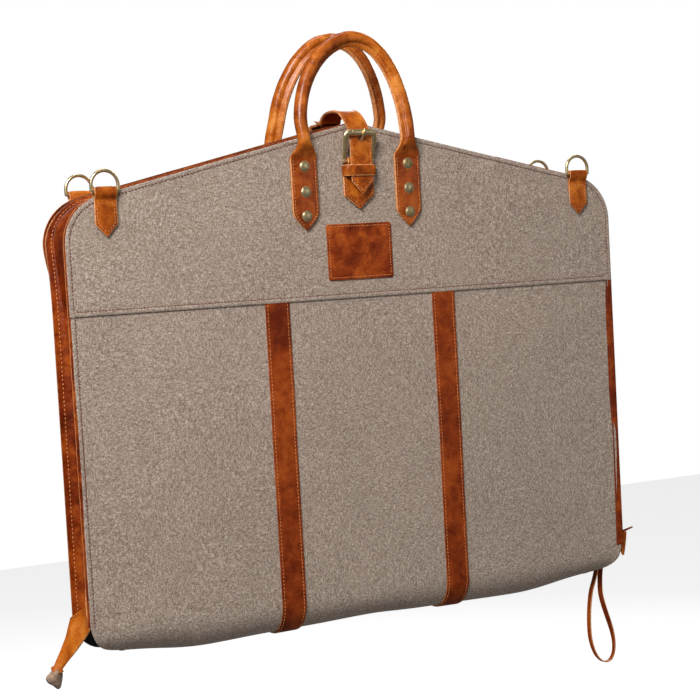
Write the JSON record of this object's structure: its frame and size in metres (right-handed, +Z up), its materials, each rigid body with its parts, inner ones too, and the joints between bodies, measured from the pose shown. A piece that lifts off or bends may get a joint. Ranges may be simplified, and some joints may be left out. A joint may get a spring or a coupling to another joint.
{
  "type": "garment bag",
  "caption": "Folding suit carrier in canvas and leather, with rolled carry handles, a buckled closing strap, D-rings and a zip with a leather pull.",
  "frame": {"origin": "over the middle of the hanger slot, level with the top peak of the canvas, half way through the folded bag's thickness", "axes": "+X across the bag to the right as its front is seen, -Y out of the front face, +Z up towards the handles"},
  "size_m": [0.652, 0.1026, 0.6811],
  "materials": {
    "canvas": "heathered taupe plain-weave canvas, matt",
    "leather": "cognac pull-up leather, semi-gloss, light raw edges",
    "lining": "black satin lining",
    "webbing": "black webbing",
    "zip_tape": "dark brown zip tape",
    "cord_core": "twisted cotton cord",
    "antique_brass": "antique brass, brushed highlights, dark in the recesses",
    "zip_brass": "dull brass"
  },
  "bodies": {
    "front_half": {"front_panel": "canvas", "front_yoke": "canvas", "front_left_stripe": "leather", "front_right_stripe": "leather", "front_left_gusset": "leather", "front_right_gusset": "leather", "front_top_gusset": "leather", "front_lining": "lining", "garment_strap": "webbing", "hanger_collar": "leather", "name_patch": "leather", "front_left_handle_tab": "leather", "front_right_handle_tab": "leather", "front_handle_rivets": "antique_brass", "front_left_ring_tab": "leather", "front_right_ring_tab": "leather", "buckle_tab": "leather", "buckle_keeper": "leather", "zip_tape": "zip_tape", "zip_teeth": "zip_brass", "fold_canvas": "canvas", "fold_left_stripe": "leather", "fold_right_stripe": "leather", "left_fold_ear": "leather", "right_fold_ear": "leather"},
    "back_half": {"back_panel": "canvas", "back_yoke": "canvas", "back_left_stripe": "leather", "back_right_stripe": "leather", "back_left_gusset": "leather", "back_right_gusset": "leather", "back_top_gusset": "leather", "back_lining": "lining", "back_left_handle_tab": "leather", "back_right_handle_tab": "leather", "back_handle_rivets": "antique_brass", "back_left_ring_tab": "leather", "back_right_ring_tab": "leather", "strap_anchor": "leather"},
    "front_handle": {"front_handle_cover": "leather", "front_handle_core": "cord_core"},
    "back_handle": {"back_handle_cover": "leather", "back_handle_core": "cord_core"},
    "front_left_ring": {"front_left_ring": "antique_brass"},
    "front_right_ring": {"front_right_ring": "antique_brass"},
    "back_left_ring": {"back_left_ring": "antique_brass"},
    "back_right_ring": {"back_right_ring": "antique_brass"},
    "buckle_frame": {"buckle_frame": "antique_brass"},
    "buckle_prong": {"buckle_prong": "antique_brass"},
    "closing_strap": {"closing_strap": "leather"},
    "zip_slider": {"zip_slider": "zip_brass"},
    "zip_pull": {"zip_pull": "zip_brass", "pull_loop": "leather"}
  },
  "joints": [
    {"name": "fold_open", "type": "hinge", "parent": "front_half", "child": "back_half", "pos_m": [0, 0, -0.51426], "axis": [-1, 0, 0], "range_deg": [0, 180], "deforming": ["fold_canvas", "fold_left_stripe", "fold_right_stripe", "left_fold_ear", "right_fold_ear"]},
    {"name": "front_handle_swing", "type": "hinge", "parent": "front_half", "child": "front_handle", "pos_m": [0, -0.0438, -0.028], "axis": [1, 0, 0], "range_deg": [0, 150]},
    {"name": "back_handle_swing", "type": "hinge", "parent": "back_half", "child": "back_handle", "pos_m": [0, 0.0438, -0.028], "axis": [-1, 0, 0], "range_deg": [0, 150]},
    {"name": "strap_swing", "type": "hinge", "parent": "back_half", "child": "closing_strap", "pos_m": [0, 0.0351, -0.014], "axis": [-1, 0, 0], "range_deg": [0, 170], "deforming": ["closing_strap"]},
    {"name": "buckle_swing", "type": "hinge", "parent": "front_half", "child": "buckle_frame", "pos_m": [0, -0.0369, -0.038], "axis": [1, 0, 0], "range_deg": [0, 45]},
    {"name": "prong_swing", "type": "hinge", "parent": "buckle_frame", "child": "buckle_prong", "pos_m": [0, -0.0369, -0.038], "axis": [1, 0, 0], "range_deg": [0, 35]},
    {"name": "front_left_ring_swing", "type": "hinge", "parent": "front_half", "child": "front_left_ring", "pos_m": [-0.26, -0.037, -0.058], "axis": [1, 0, 0], "range_deg": [0, 160]},
    {"name": "front_right_ring_swing", "type": "hinge", "parent": "front_half", "child": "front_right_ring", "pos_m": [0.26, -0.037, -0.058], "axis": [1, 0, 0], "range_deg": [0, 160]},
    {"name": "back_left_ring_swing", "type": "hinge", "parent": "back_half", "child": "back_left_ring", "pos_m": [-0.26, 0.037, -0.058], "axis": [-1, 0, 0], "range_deg": [0, 160]},
    {"name": "back_right_ring_swing", "type": "hinge", "parent": "back_half", "child": "back_right_ring", "pos_m": [0.26, 0.037, -0.058], "axis": [-1, 0, 0], "range_deg": [0, 160]},
    {"name": "zip_slide", "type": "slide", "parent": "front_half", "child": "zip_slider", "axis": [0, 0, 1], "range_m": [0, 0.31]},
    {"name": "pull_swing", "type": "hinge", "parent": "zip_slider", "child": "zip_pull", "pos_m": [0.2922, -0.001, -0.442], "axis": [0, -1, 0], "range_deg": [0, 100], "deforming": ["pull_loop"]}
  ]
}
